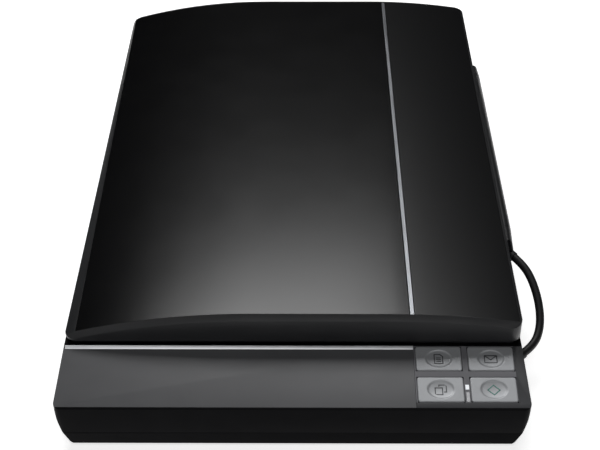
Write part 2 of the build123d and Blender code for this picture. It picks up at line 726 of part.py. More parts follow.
def bevel_cutter():
    """Removes the lid's left edge, wide at the front and narrow at the back."""
    faces = []
    for y, low, inner_x in ((LID_FRONT_Y, 46.4, LEFT_EDGE_X), (LID_BACK_Y, 48.8, -136.5)):
        plane = Plane(origin=(0, y, 0), x_dir=(1, 0, 0), z_dir=(0, -1, 0))
        corners = [(-138.6, low), (inner_x, crown(inner_x, y) + 0.02), (inner_x, 75), (-138.6, 75)]
        faces.append(plane * Polygon(*corners, align=None))
    return loft(faces, ruled=True)


def front_chamfer_cutter():
    """Removes a chamfer along the lid's front edge that follows the arch."""
    face = arch_face((-147, 147), LID_FRONT_Y, CHAMFER_FALL, 90)
    length = math.hypot(CHAMFER_RUN, CHAMFER_FALL)
    return extrude(face, amount=length, dir=(0, CHAMFER_RUN, CHAMFER_FALL))


def lid_form():
    """The lid's whole outer form: arched flange over a drawn-in neck, with its bevelled edges."""
    around_x, around_y = (-LID_HALF - 1, LID_HALF + 1), (LID_FRONT_Y - 5, LID_BACK_Y + 5)
    body = arch_prism(around_x, around_y, 0, FLANGE_Z - 2)
    body &= plan_block(2 * LID_HALF, LID_Y, 7.0, (FLANGE_Z, 90))
    neck_y = (LID_FRONT_Y + NECK_INSET, LID_BACK_Y - NECK_INSET)
    body += plan_block(2 * (LID_HALF - NECK_INSET), neck_y, 5.0, (LID_BOTTOM_Z, FLANGE_Z))
    return body - bevel_cutter() - front_chamfer_cutter()


def skin_zone():
    """Plan of the three top skins: it follows the left bevel and the front chamfer."""
    corners = [(LEFT_EDGE_X, -168.2), (136.4, -168.2), (136.4, 211.6), (-136.5, 211.6)]
    return extrude(Polygon(*corners, align=None), amount=90, dir=(0, 0, 1))


def lid_skin(x0, x1):
    """One of the skins laid on the frame's roof."""
    skin = arch_prism((x0, x1), LID_Y, 0, FLANGE_Z) - arch_prism((x0, x1), LID_Y, SKIN, FLANGE_Z - 1)
    return skin & skin_zone()


LID_SCREWS = [(x, y) for x in (-108.0, 4.0, 112.0) for y in (-161.5, 190.0)]


def knuckle(y_range, radii):
    """One of the lid's hinge eyes, joined up to the wall above it. radii are at its two ends."""
    eye = cone_along_y(HINGE_X, y_range, HINGE_Z, radii)
    eye += block((135.9, LID_HALF), y_range, (HINGE_Z, 53.0))
    return eye - bar_along_y(HINGE_X, (-FAR, FAR), HINGE_Z, PIN_RADIUS + PIN_PLAY)


MAT_SLOT_X = (-140.0, -133.0)
GUIDE_POCKET_X = (-133.0, -119.0)
GUIDE_POCKET_REACH = 6.6


def lid_frame():
    """The lid's hollow frame: roof under the skins, edges, screw bosses and hinge eyes."""
    frame = lid_form()
    frame -= skin_zone() & arch_prism((-137.5, 137.5), LID_Y, SKIN, 95)
    cavity = arch_prism(CAVITY_X, CAVITY_Y, SKIN + ROOF, LID_BOTTOM_Z - 1)
    frame -= cavity
    for x, y in LID_SCREWS:
        frame += post(x, y, (COVER_TOP_Z, crown(x, y) - SKIN - ROOF / 2), 4.0)
        frame -= post(x, y, (COVER_TOP_Z, SCREW_TIP_Z + 0.4), 1.55)
    frame -= block(MAT_SLOT_X, (MAT_FRONT_Y - 2.5, MAT_BACK_Y + 2.5), (40, COVER_BOTTOM_Z))
    pocket_y = (MAT_FRONT_Y - GUIDE_POCKET_REACH, MAT_BACK_Y + GUIDE_POCKET_REACH)
    frame -= block(GUIDE_POCKET_X, pocket_y, (40, COVER_BOTTOM_Z))
    frame -= bar_along_y(HINGE_X, (BOSS_Y[0] - 5.0, BOSS_Y[1]), HINGE_Z, GLAND_SCOOP_RADIUS)
    scoop_y = (BOSS_Y[0] - 0.6, REAR_KNUCKLE_Y[1] + 0.6)
    frame -= bar_along_y(HINGE_X, scoop_y, HINGE_Z, SCOOP_RADIUS)
    frame -= block((HINGE_X - SCOOP_RADIUS, 150), scoop_y, (40, HINGE_Z))
    for low, high in WEB_Y:
        frame -= block((126.6, 150), (low - 0.5, high + 0.5), (40, 51.2))
    frame += knuckle(FRONT_KNUCKLE_Y, (BOSS_RADII[1], BARREL_RADIUS))
    return frame + knuckle(REAR_KNUCKLE_Y, (BARREL_RADIUS, BARREL_RADIUS - 0.8))


def groove_rib(y_wall, side):
    """The rib that holds one edge of the mat. side is 1 at the back and -1 at the front."""
    near = y_wall + side * 0.4
    far = y_wall + side * 6.0
    deep = y_wall + side * 3.0
    rib = block((-130.0, 112.0), sorted((near, far)), (41.8, COVER_BOTTOM_Z))
    return rib - block((-131.0, 110.5), sorted((near - side, deep)), (43.1, 44.7))


def lid_inner_cover():
    """The plate that closes the lid's underside, with the film window and the mat's grooves."""
    x_range, y_range = [(low + 0.3, high - 0.3) for low, high in (CAVITY_X, CAVITY_Y)]
    plate = block(x_range, y_range, (COVER_BOTTOM_Z, COVER_TOP_Z))
    plate += groove_rib(MAT_FRONT_Y, -1) + groove_rib(MAT_BACK_Y, 1)
    plate -= block((-FILM_HALF_X, FILM_HALF_X), (-FILM_HALF_Y, FILM_HALF_Y), (40, 60))
    for x, y in LID_SCREWS:
        plate -= post(x, y, (40, 60), 1.7)
    return plate


def film_diffuser():
    """The milky window that film is lit through."""
    half_x, half_y = FILM_HALF_X + 4, FILM_HALF_Y + 4
    return block((-half_x, half_x), (-half_y, half_y), (COVER_TOP_Z, COVER_TOP_Z + 2.0))


def film_light_guide():
    """The clear slab behind the diffuser."""
    half_x, half_y = FILM_HALF_X + 4, FILM_HALF_Y + 4
    return block((-half_x, half_x), (-half_y, half_y), (COVER_TOP_Z + 2.0, COVER_TOP_Z + 6.0))


def film_led_board():
    """The lamps along the light guide's right-hand edge."""
    half_y = FILM_HALF_Y
    strip = block((45.4, 46.8), (-half_y, half_y), (COVER_TOP_Z, COVER_TOP_Z + 7.0))
    for index in range(25):
        y = -120 + 10 * index
        strip += block((44.2, 45.4), (y - 1.5, y + 1.5), (50.0, 52.0))
    return strip


def lid_screws():
    """Six screws up through the inner cover."""
    screws = Part()
    for x, y in LID_SCREWS:
        screws += post(x, y, (COVER_BOTTOM_Z - 1.2, COVER_BOTTOM_Z), 2.6)
        screws += post(x, y, (COVER_BOTTOM_Z, SCREW_TIP_Z), 1.5)
    return screws


def lid_pads():
    """Four small bumpers that the closed lid rests on."""
    pads = Part()
    for x in (-118.0, 104.0):
        for y in (MAT_FRONT_Y - 4.6, MAT_BACK_Y + 4.6):
            pads += post(x, y, (LID_BOTTOM_Z - 0.2, 41.8), 1.3)
    return pads


def mat_backing():
    """The mat's stiff back, with a tongue along each edge and a finger lip on the left."""
    backing = block((MAT_LEFT_X, MAT_RIGHT_X), (MAT_FRONT_Y, MAT_BACK_Y), (SHEET_TOP_Z, MAT_TOP_Z))
    tongue_x = (-129.5, MAT_RIGHT_X)
    backing += block(tongue_x, (MAT_FRONT_Y - 2.5, MAT_FRONT_Y), (43.4, 44.4))
    backing += block(tongue_x, (MAT_BACK_Y, MAT_BACK_Y + 2.5), (43.4, 44.4))
    lip = block((MAT_LEFT_X, MAT_LEFT_X + 1.6), (-30.0, 40.0), (MAT_BOTTOM_Z, SHEET_TOP_Z))
    return backing + lip


def mat_sheet():
    """The white sheet that faces the glass."""
    y_range = (MAT_FRONT_Y + 1, MAT_BACK_Y - 1)
    return block((MAT_LEFT_X + 3, MAT_RIGHT_X - 1), y_range, (MAT_BOTTOM_Z, SHEET_TOP_Z))


# Hinge --------------------------------------------------------------------------------------------


def hinge_web(y_range, x_range):
    """The neck from a post out to the barrel."""
    return block(x_range, y_range, (DECK_Z + 0.4, HINGE_Z + 2.0))


def gland_axis():
    """Where the gland starts and which way it points."""
    end = Vector(*CABLE_ROUTE[0])
    direction = (Vector(*CABLE_ROUTE[1]) - end).normalized()
    return end - direction * GLAND_LENGTH, direction


def gland_body():
    """The gland as a plain cylinder along the cable's first stretch."""
    start, direction = gland_axis()
    return extrude(Plane(origin=start, z_dir=direction) * Circle(GLAND_RADIUS), amount=GLAND_LENGTH)


def hinge_post_front():
    """The front post, with the fixed eye that the cable leaves through."""
    body = block(POST_X, POST_FRONT_Y, (POST_BOTTOM_Z, DECK_Z))
    body += hinge_web(WEB_Y[0], (POST_X[0], HINGE_X)) + hinge_web(WEB_Y[1], (POST_X[0], WEB_SPLIT_X))
    for y_range in WEB_Y[:2]:
        body += block(POST_X, y_range, (DECK_Z - 1, HINGE_Z))
    body += cone_along_y(HINGE_X, BOSS_Y, HINGE_Z, BOSS_RADII)
    body -= bar_along_y(HINGE_X, (BOSS_Y[0] + 6.5, FAR), HINGE_Z, PIN_RADIUS + 0.02)
    return body - gland_body()


def hinge_post_rear():
    """The rear post."""
    body = block(POST_X, POST_REAR_Y, (POST_BOTTOM_Z, DECK_Z))
    body += block(POST_X, WEB_Y[2], (DECK_Z - 1, HINGE_Z))
    return body + hinge_web(WEB_Y[2], (POST_X[0], WEB_SPLIT_X))


def hinge_barrel():
    """The long round cover between the lid's two eyes."""
    body = bar_along_y(HINGE_X, BARREL_Y, HINGE_Z, BARREL_RADIUS)
    for y_range in WEB_Y[1:]:
        body += hinge_web(y_range, (WEB_SPLIT_X, HINGE_X))
    body -= bar_along_y(HINGE_X, (-FAR, BARREL_Y[0] + 12), HINGE_Z, PIN_RADIUS + 0.02)
    return body - bar_along_y(HINGE_X, (BARREL_Y[1] - 12, FAR), HINGE_Z, PIN_RADIUS + 0.02)


def hinge_pins():
    """Two steel pins, one through each of the lid's eyes."""
    front = bar_along_y(HINGE_X, (BOSS_Y[0] + 6.5, BARREL_Y[0] + 12), HINGE_Z, PIN_RADIUS)
    return front + bar_along_y(HINGE_X, (BARREL_Y[1] - 12, REAR_KNUCKLE_Y[1] - 1.5), HINGE_Z, PIN_RADIUS)


# Cable --------------------------------------------------------------------------------------------


def route_radii(points):
    """The bend radius at each inner point of a route."""
    radii = []
    for before, here, after in zip(points, points[1:], points[2:]):
        run_in = Vector(*here) - Vector(*before)
        run_out = Vector(*after) - Vector(*here)
        turn = math.radians(run_in.get_angle(run_out))
        radii.append(0.45 * min(run_in.length, run_out.length) / math.tan(turn / 2))
    return radii


def lid_cable():
    """The free cable between the gland and the plug."""
    radii = route_radii(CABLE_ROUTE)
    path = FilletPolyline(*CABLE_ROUTE, radius=radii)
    start = Plane(origin=path @ 0, z_dir=path % 0)
    tube = sweep(start * Circle(CABLE_DIAMETER / 2), path=path)
    section = math.pi * CABLE_DIAMETER**2 / 4
    print("cable radii", [round(radius, 1) for radius in radii], "length", round(path.length, 1))
    print("cable volume", round(tube.volume, 1), "section times length", round(section * path.length, 1))
    return tube


def lid_cable_plug():
    """The plug in the base's side: tongue, grip and a short sleeve on the cable."""
    tongue = block((126.8, 137.8), (PLUG_Y - 3.0, PLUG_Y + 3.0), (PLUG_Z - 2.0, PLUG_Z + 2.0))
    grip = block((134.4, 142.0), (PLUG_Y - 4.8, PLUG_Y + 4.8), (PLUG_Z - 4.3, PLUG_Z + 4.3))
    grip = fillet(grip.edges().filter_by(Axis.X), 1.4)
    start, end = Vector(*CABLE_ROUTE[-1]), Vector(*CABLE_ROUTE[-2])
    back = (start - end).normalized()
    sleeve = extrude(Plane(origin=start, z_dir=back) * Circle(3.3), amount=4.0)
    return tongue + grip + sleeve


os.makedirs("parts", exist_ok=True)

write("base_lower_housing", base_lower_housing())
write("base_upper_housing", base_upper_housing())
write("scanner_glass", scanner_glass())
write("calibration_strip", calibration_strip())
write("front_panel", front_panel())
write("button_bezel", button_bezel())
write("front_chrome_trim", front_chrome_trim())
write("status_led_lens", status_led_lens())
write("led_trim_bar", led_trim_bar())
write("button_board", button_board())
write("main_board", main_board())
write("usb_socket", usb_socket())
write("dc_inlet", dc_inlet())
write("option_socket", option_socket())
write("rubber_feet", rubber_feet())
write("housing_screws", housing_screws())
write("guide_rod", guide_rod())
write("guide_rail", guide_rail())
write("stepper_motor", stepper_motor())
write("motor_bracket", motor_bracket())
write("motor_pinion", motor_pinion())
write("drive_gear", drive_gear())
write("idler_pulley", idler_pulley())
write("belt_tensioner", belt_tensioner())
write("tensioner_spring", tensioner_spring())
write("timing_belt", timing_belt())
write("carriage_flex", carriage_flex())
write("transport_lock", transport_lock())

write("carriage_housing", carriage_housing())
write("rod_bushings", rod_bushings())
write("glide_pad", glide_pad())
write("belt_clip", belt_clip())
write("led_light_bar", led_light_bar())
write("light_guides", light_guides())
write("carriage_mirrors", carriage_mirrors())
write("lens_barrel", lens_barrel())
write("sensor_board", sensor_board())

write("lid_frame", lid_frame())
write("lid_top_panel", lid_skin(-137.5, STRIP_LEFT_X - SEAM))
write("lid_silver_strip", lid_skin(STRIP_LEFT_X, STRIP_RIGHT_X))
write("lid_side_panel", lid_skin(STRIP_RIGHT_X + SEAM, 137.5))
write("lid_inner_cover", lid_inner_cover())
write("film_diffuser", film_diffuser())
write("film_light_guide", film_light_guide())
write("film_led_board", film_led_board())
write("lid_screws", lid_screws())
write("lid_pads", lid_pads())
write("mat_backing", mat_backing())
write("mat_sheet", mat_sheet())

write("hinge_post_front", hinge_post_front())
write("hinge_post_rear", hinge_post_rear())
write("hinge_barrel", hinge_barrel())
write("hinge_pins", hinge_pins())
write("cable_gland", gland_body())
write("lid_cable", lid_cable())
write("lid_cable_plug", lid_cable_plug())

for number, (row, column) in enumerate([(1, 0), (1, 1), (0, 0), (0, 1)], start=1):
    write(f"button_{number}", button(BUTTON_COLUMNS[column], BUTTON_ROWS[row]))
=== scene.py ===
import json
import math

import bmesh
import bpy
from mathutils import Euler, Matrix, Vector


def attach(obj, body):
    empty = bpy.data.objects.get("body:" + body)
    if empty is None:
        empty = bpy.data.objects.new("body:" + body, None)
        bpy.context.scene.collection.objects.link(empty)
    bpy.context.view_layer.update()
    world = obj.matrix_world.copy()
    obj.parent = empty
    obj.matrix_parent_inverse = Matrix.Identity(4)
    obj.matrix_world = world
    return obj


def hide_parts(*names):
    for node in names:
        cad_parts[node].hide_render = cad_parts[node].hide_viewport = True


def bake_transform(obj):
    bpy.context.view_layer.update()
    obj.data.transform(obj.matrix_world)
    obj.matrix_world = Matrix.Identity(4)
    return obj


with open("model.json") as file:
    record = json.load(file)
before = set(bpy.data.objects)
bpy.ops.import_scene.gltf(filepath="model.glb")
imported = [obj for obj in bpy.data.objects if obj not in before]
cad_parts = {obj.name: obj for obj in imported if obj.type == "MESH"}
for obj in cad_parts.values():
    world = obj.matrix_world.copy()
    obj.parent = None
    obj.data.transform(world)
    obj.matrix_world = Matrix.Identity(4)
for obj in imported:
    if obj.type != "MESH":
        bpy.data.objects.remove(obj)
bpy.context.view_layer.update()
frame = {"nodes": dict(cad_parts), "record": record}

SLOT_OF = {entry["node"]: entry["material_slot"] for entry in frame["record"]["subparts"]}
BODY_OF = {
    node: body for body, nodes in frame["record"]["behaviour"]["bodies"].items() for node in nodes
}

MM = 0.001

# The lid's arch, the strip's slope, the window and the buttons, as in the CAD model (millimetres).
HEIGHT = 67.0
LID_RISE = 3.4
LID_Y = (-172.0, 213.0)
CROWN_LEFT_X = -26.0
CROWN_RIGHT_X = 60.0
CROWN_LEFT_RADIUS = 390.0
CROWN_RIGHT_RADIUS = 470.0
SKIN = 2.0
SKIN_FRONT_Y = -168.2
SKIN_BACK_Y = 211.6
SKIN_LEFT_X = (-131.5, -136.5)
SKIN_RIGHT_X = 136.4
SKIN_ROUNDING = 0.35
SKIN_ROWS = 40
STRIP_X = (70.2, 72.8)
SEAM = 0.15
SLOPE = math.atan2(10.0, 43.0)
SLOPE_ORIGIN = Vector((0.0, -193.5, 36.0))
BUTTON_SIZE = (27.4, 16.8)
BUTTON_COLUMNS = (87.6, 118.9)
BUTTON_ROWS = (-8.2, 13.1)
BUTTON_PROUD = 0.3
BUTTON_PLATE = 1.4
STEM_RADIUS = 2.5
STEM_LENGTH = 6.5
DECK_Z = 41.0
WINDOW_WIDTH = 216.0
WINDOW_LEFT = -108.0
WINDOW_DEPTH = 297.0
WINDOW_BACK = 147.0


# Camera and cable ---------------------------------------------------------------------------------


# Place in metres, angles in degrees and focal length in millimetres.
CAMERA_PLACE = (0.0095, -0.7034, 0.5586)
CAMERA_TILT = 51.41
CAMERA_TURN = 0.508
CAMERA_ROLL = -0.25
CAMERA_LENS = 73.24


def add_camera():
    """The camera: seen from high in front, a little to the right of the middle."""
    data = bpy.data.cameras.new("camera")
    data.sensor_width = 36.0
    data.lens = CAMERA_LENS
    data.clip_start = 0.01
    camera = bpy.data.objects.new("camera", data)
    aim = Euler((math.radians(CAMERA_TILT), 0.0, math.radians(CAMERA_TURN))).to_matrix().to_4x4()
    roll = Matrix.Rotation(math.radians(CAMERA_ROLL), 4, "Z")
    camera.matrix_world = Matrix.Translation(CAMERA_PLACE) @ aim @ roll
    bpy.context.scene.collection.objects.link(camera)
    bpy.context.scene.camera = camera


# The cable's route from the gland to the plug, as in the CAD model, in metres.
CABLE_DIAMETER = 0.0053
CABLE_ROUTE = [
    (0.1438, -0.0928, 0.0446),
    (0.1494, -0.0994, 0.0432),
    (0.1543, -0.1110, 0.0388),
    (0.1572, -0.1255, 0.0315),
    (0.1564, -0.1390, 0.0250),
    (0.1512, -0.1504, 0.0209),
    (0.1436, -0.1566, 0.0200),
]


def add_cable(finish):
    """The lid's cable: a round tube along one smooth spline, from the hinge's gland to the plug."""
    curve = bpy.data.curves.new("lid_cable_line", "CURVE")
    curve.dimensions = "3D"
    curve.resolution_u = 16
    spline = curve.splines.new("NURBS")
    spline.points.add(len(CABLE_ROUTE) - 1)
    for point, place in zip(spline.points, CABLE_ROUTE):
        point.co = (*place, 1.0)
    spline.order_u = 3
    spline.use_endpoint_u = True
    line = bpy.data.objects.new("lid_cable_line", curve)
    centre = [vertex.co.copy() for vertex in bpy.data.meshes.new_from_object(line).vertices]
    curve.bevel_depth = CABLE_DIAMETER / 2
    curve.bevel_resolution = 8
    curve.use_fill_caps = True
    cable = bpy.data.objects.new("lid_cable_cord", bpy.data.meshes.new_from_object(line))
    cable.data.materials.append(finish)
    bpy.data.objects.remove(line)
    bpy.context.scene.collection.objects.link(cable)
    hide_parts("lid_cable")
    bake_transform(cable)


# Materials ----------------------------------------------------------------------------------------


class Finish:
    """One material: a Principled shader with procedural detail in the object's own space."""

    def __init__(self, name, color, roughness, metallic=0.0, **sockets):
        self.material = bpy.data.materials.new(name)
        self.material.use_nodes = True
        self.tree = self.material.node_tree
        self.shader = self.tree.nodes["Principled BSDF"]
        self.shader.inputs["Base Color"].default_value = (*color, 1.0)
        self.shader.inputs["Roughness"].default_value = roughness
        self.shader.inputs["Metallic"].default_value = metallic
        for socket, value in sockets.items():
            self.shader.inputs[socket.replace("_", " ")].default_value = value
        self.color = color
        self.place = self.tree.nodes.new("ShaderNodeTexCoord").outputs["Object"]

    def stretch(self, scale):
        """Coordinates stretched along the axes, for brushed or ribbed textures."""
        mapping = self.tree.nodes.new("ShaderNodeMapping")
        mapping.inputs["Scale"].default_value = scale
        self.tree.links.new(self.place, mapping.inputs["Vector"])
        return mapping.outputs["Vector"]

    def noise(self, scale, detail=3.0, roughness=0.5, vector=None):
        """A noise texture. Scale is in cells to the metre."""
        node = self.tree.nodes.new("ShaderNodeTexNoise")
        node.inputs["Scale"].default_value = scale
        node.inputs["Detail"].default_value = detail
        node.inputs["Roughness"].default_value = roughness
        self.tree.links.new(vector or self.place, node.inputs["Vector"])
        return node.outputs["Fac"]

    def spread(self, value, low, high, out_low, out_high):
        """Maps a texture's middle range onto the wanted values."""
        node = self.tree.nodes.new("ShaderNodeMapRange")
        node.inputs["From Min"].default_value = low
        node.inputs["From Max"].default_value = high
        node.inputs["To Min"].default_value = out_low
        node.inputs["To Max"].default_value = out_high
        self.tree.links.new(value, node.inputs["Value"])
        return node.outputs["Result"]

    def mottle(self, scale, amount, detail=4.0):
        """Uneven colour: lighter and darker patches round the base colour."""
        mix = self.tree.nodes.new("ShaderNodeMix")
        mix.data_type = "RGBA"
        mix.inputs["A"].default_value = (*[channel * (1 - amount) for channel in self.color], 1.0)
        mix.inputs["B"].default_value = (*[channel * (1 + amount) for channel in self.color], 1.0)
        fac = self.spread(self.noise(scale, detail), 0.3, 0.7, 0.0, 1.0)
        self.tree.links.new(fac, mix.inputs["Factor"])
        self.tree.links.new(mix.outputs["Result"], self.shader.inputs["Base Color"])
        return self

    def dark_border(self, x_limit, y_limit, color):
        """Another colour beyond a place in X or short of a place in Y."""
        split = self.tree.nodes.new("ShaderNodeSeparateXYZ")
        self.tree.links.new(self.place, split.inputs["Vector"])
        inner = []
        for axis, operation, limit in (("X", "LESS_THAN", x_limit), ("Y", "GREATER_THAN", y_limit)):
            test = self.tree.nodes.new("ShaderNodeMath")
            test.operation = operation
            test.inputs[1].default_value = limit
            self.tree.links.new(split.outputs[axis], test.inputs[0])
            inner.append(test.outputs["Value"])
        both = self.tree.nodes.new("ShaderNodeMath")
        both.operation = "MULTIPLY"
        self.tree.links.new(inner[0], both.inputs[0])
        self.tree.links.new(inner[1], both.inputs[1])
        mix = self.tree.nodes.new("ShaderNodeMix")
        mix.data_type = "RGBA"
        mix.inputs["A"].default_value = (*color, 1.0)
        mix.inputs["B"].default_value = (*self.color, 1.0)
        self.tree.links.new(both.outputs["Value"], mix.inputs["Factor"])
        self.tree.links.new(mix.outputs["Result"], self.shader.inputs["Base Color"])
        return self

    def uneven_gloss(self, scale, low, high, vector=None):
        """Uneven roughness, as handling and moulding leave it."""
        value = self.spread(self.noise(scale, 4.0, 0.6, vector), 0.3, 0.7, low, high)
        self.tree.links.new(value, self.shader.inputs["Roughness"])
        return self

    def grain(self, scale, depth, detail=2.0, vector=None):
        """Fine relief. Depth is in metres."""
        bump = self.tree.nodes.new("ShaderNodeBump")
        bump.inputs["Strength"].default_value = 1.0
        bump.inputs["Distance"].default_value = depth
        self.tree.links.new(self.noise(scale, detail, 0.5, vector), bump.inputs["Height"])
        self.tree.links.new(bump.outputs["Normal"], self.shader.inputs["Normal"])
        return self


# The button bezel is darker along its right and front edges, beyond these places (metres).
BEZEL_BORDER_X = 0.1330
BEZEL_BORDER_Y = -0.2100
BEZEL_BORDER_COLOR = (0.045, 0.046, 0.050)


def make_finishes():
    """Every material slot's finish."""
    made = {}

    def add(slot, color, roughness, metallic=0.0, **sockets):
        made[slot] = Finish(slot, color, roughness, metallic, **sockets)
        return made[slot]

    housing = add("housing_black", (0.0028, 0.0028, 0.0034), 0.42, Specular_IOR_Level=0.035)
    housing.mottle(60, 0.15).uneven_gloss(90, 0.38, 0.48).grain(2600, 0.00002)
    panel = add("panel_grey", (0.098, 0.099, 0.104), 0.40, Specular_IOR_Level=0.28)
    panel.mottle(30, 0.05).uneven_gloss(60, 0.33, 0.40).grain(3000, 0.000012)
    bezel = add("bezel_grey", (0.165, 0.165, 0.178), 0.40, Specular_IOR_Level=0.20)
    bezel.dark_border(BEZEL_BORDER_X, BEZEL_BORDER_Y, BEZEL_BORDER_COLOR)
    bezel.uneven_gloss(80, 0.36, 0.44).grain(3000, 0.000012)
    button = add("button_silver", (0.36, 0.37, 0.385), 0.38, 0.2)
    button.mottle(80, 0.04).uneven_gloss(120, 0.34, 0.42).grain(5000, 0.000006)
    chrome = add("chrome_trim", (0.70, 0.71, 0.73), 0.30, 1.0)
    chrome.mottle(120, 0.05).uneven_gloss(60, 0.28, 0.32)
    glow = (0.9, 0.95, 1.0, 1.0)
    lens = add("led_lens", (0.86, 0.88, 0.90), 0.25, Emission_Color=glow, Emission_Strength=0.35)
    lens.mottle(900, 0.03)
    glass = add("glass", (0.93, 0.96, 0.96), 0.02, Transmission_Weight=0.96, IOR=1.52)
    glass.uneven_gloss(40, 0.012, 0.03)
    add("reference_white", (0.84, 0.84, 0.82), 0.6).mottle(100, 0.02).grain(3000, 0.00001)
    add("board_green", (0.020, 0.120, 0.055), 0.38).mottle(350, 0.35, 6.0).grain(900, 0.00006, 1.0)
    add("socket_black", (0.014, 0.014, 0.015), 0.38).mottle(200, 0.15).grain(4000, 0.00001)
    metal = add("socket_metal", (0.56, 0.56, 0.57), 0.28, 1.0)
    metal.mottle(150, 0.08).uneven_gloss(400, 0.22, 0.36, metal.stretch((1.0, 12.0, 1.0)))
    add("rubber_black", (0.022, 0.022, 0.022), 0.72).mottle(300, 0.2).grain(2500, 0.00003)
    steel = add("steel", (0.55, 0.56, 0.57), 0.25, 1.0)
    steel.mottle(90, 0.08).uneven_gloss(300, 0.18, 0.32, steel.stretch((6.0, 1.0, 6.0)))
    add("zinc_plate", (0.50, 0.50, 0.47), 0.38, 1.0).mottle(200, 0.18).uneven_gloss(260, 0.30, 0.46)
    add("gear_white", (0.74, 0.73, 0.68), 0.42).mottle(150, 0.04).grain(2500, 0.00001)
    belt = add("belt_black", (0.016, 0.016, 0.017), 0.62)
    belt.mottle(400, 0.2).grain(900, 0.0001, 0.0, belt.stretch((0.2, 1.0, 0.2)))
    flex = add("flex_white", (0.72, 0.72, 0.74), 0.32)
    flex.mottle(700, 0.08).grain(1500, 0.00005, 0.0, flex.stretch((1.0, 0.02, 1.0)))
    add("carriage_black", (0.017, 0.017, 0.017), 0.55).mottle(100, 0.2).grain(2200, 0.00003)
    add("bronze", (0.42, 0.28, 0.13), 0.42, 1.0).mottle(900, 0.25).grain(3500, 0.00002)
    add("mirror_glass", (0.86, 0.88, 0.88), 0.03, 1.0).mottle(30, 0.01)
    clear = add("clear_plastic", (0.92, 0.95, 0.96), 0.06, Transmission_Weight=0.9, IOR=1.49)
    clear.uneven_gloss(60, 0.04, 0.1)
    lid_frame = add("lid_frame_grey", (0.0130, 0.0133, 0.0148), 0.38, Specular_IOR_Level=0.36)
    lid_frame.mottle(60, 0.1).uneven_gloss(80, 0.36, 0.46).grain(2800, 0.000018)
    gloss = add("lid_gloss_black", (0.0010, 0.0010, 0.0013), 0.228, IOR=1.5)
    gloss.mottle(25, 0.2).uneven_gloss(35, 0.220, 0.236).grain(220, 0.000002, 1.0)
    silver = add("lid_silver", (0.34, 0.35, 0.37), 0.34, 0.9)
    silver.mottle(60, 0.05).uneven_gloss(500, 0.28, 0.40, silver.stretch((1.0, 0.03, 1.0)))
    satin = add("lid_satin_black", (0.0022, 0.0023, 0.0028), 0.29, Specular_IOR_Level=0.48)
    satin.mottle(900, 0.15, 2.0).uneven_gloss(700, 0.28, 0.30).grain(1900, 0.000015)
    add("cover_black", (0.018, 0.018, 0.019), 0.5).mottle(120, 0.15).grain(1800, 0.00003)
    diffuser = add("diffuser_white", (0.80, 0.82, 0.84), 0.35, Subsurface_Weight=0.1)
    diffuser.mottle(60, 0.02).grain(1200, 0.00001)
    add("mat_white", (0.80, 0.80, 0.785), 0.62).mottle(90, 0.025).grain(1400, 0.00004)
    cable = add("cable_black", (0.0075, 0.0075, 0.0080), 0.46, Specular_IOR_Level=0.3)
    cable.mottle(300, 0.15).uneven_gloss(300, 0.42, 0.54).grain(1800, 0.00003)
    add("icon_grey", (0.055, 0.057, 0.062), 0.5).mottle(800, 0.1)
    add("icon_teal", (0.060, 0.22, 0.18), 0.4).mottle(800, 0.1)
    add("trim_satin", (0.30, 0.30, 0.31), 0.42, 1.0).mottle(200, 0.06).uneven_gloss(300, 0.38, 0.46)
    add("scale_mark", (0.55, 0.56, 0.57), 0.5).mottle(900, 0.06)
    return {slot: finish.material for slot, finish in made.items()}


# Nodes whose finish isn't that of their slot.
FINISH_OF = {"led_trim_bar": "trim_satin"}


def dress_frame(finishes):
    """Gives every CAD node its finish."""
    for entry in frame["record"]["subparts"]:
        node = frame["nodes"][entry["node"]]
        for slot in node.material_slots:
            slot.material = finishes[FINISH_OF.get(entry["node"], entry["material_slot"])]


# Mesh helpers -------------------------------------------------------------------------------------


def link_piece(name, mesh, material, body, replaced=()):
    """Adds a piece, its material and where it rides."""
    piece = bpy.data.objects.new(name, mesh)
    bpy.context.scene.collection.objects.link(piece)
    mesh.materials.clear()
    mesh.materials.append(material)
    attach(piece, body)
    if replaced:
        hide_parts(*replaced)
    return piece


# Corners sharper than this are rounded (degrees).
ROUNDED_ANGLE = 35.0


def bevelled(piece, width, segments):
    """Rounds a piece's edges by a width in millimetres and shades it smooth between them."""
    for polygon in piece.data.polygons:
        polygon.use_smooth = True
    modifier = piece.modifiers.new("rounding", "BEVEL")
    modifier.width = width * MM
    modifier.segments = segments
    modifier.limit_method = "ANGLE"
    modifier.angle_limit = math.radians(ROUNDED_ANGLE)
    modifier.harden_normals = True
    modifier.use_clamp_overlap = True
    return piece


# The width of each housing part's rounded edges (millimetres).
ROUNDED = {
    "base_upper_housing": 0.8,
    "base_lower_housing": 0.6,
    "lid_frame": 0.5,
    "front_panel": 0.5,
    "button_bezel": 0.3,
    "hinge_barrel": 0.5,
    "hinge_post_front": 0.5,
    "hinge_post_rear": 0.5,
}
MERGE_DISTANCE = 0.00002
FLAT_ANGLE = 0.6


def rounded_copy(finishes, node, width):
    """Stands for a CAD node: the same shape with its sharp edges rounded."""
    mesh = frame["nodes"][node].data.copy()
    shape = bmesh.new()
    shape.from_mesh(mesh)
    bmesh.ops.remove_doubles(shape, verts=shape.verts, dist=MERGE_DISTANCE)
    flat = math.radians(FLAT_ANGLE)
    bmesh.ops.dissolve_limit(shape, angle_limit=flat, verts=shape.verts, edges=shape.edges)
    shape.to_mesh(mesh)
    shape.free()
    slot = SLOT_OF[node]
    piece = link_piece(node + "_rounded", mesh, finishes[slot], BODY_OF[node], [node])
    return bevelled(piece, width, 4)


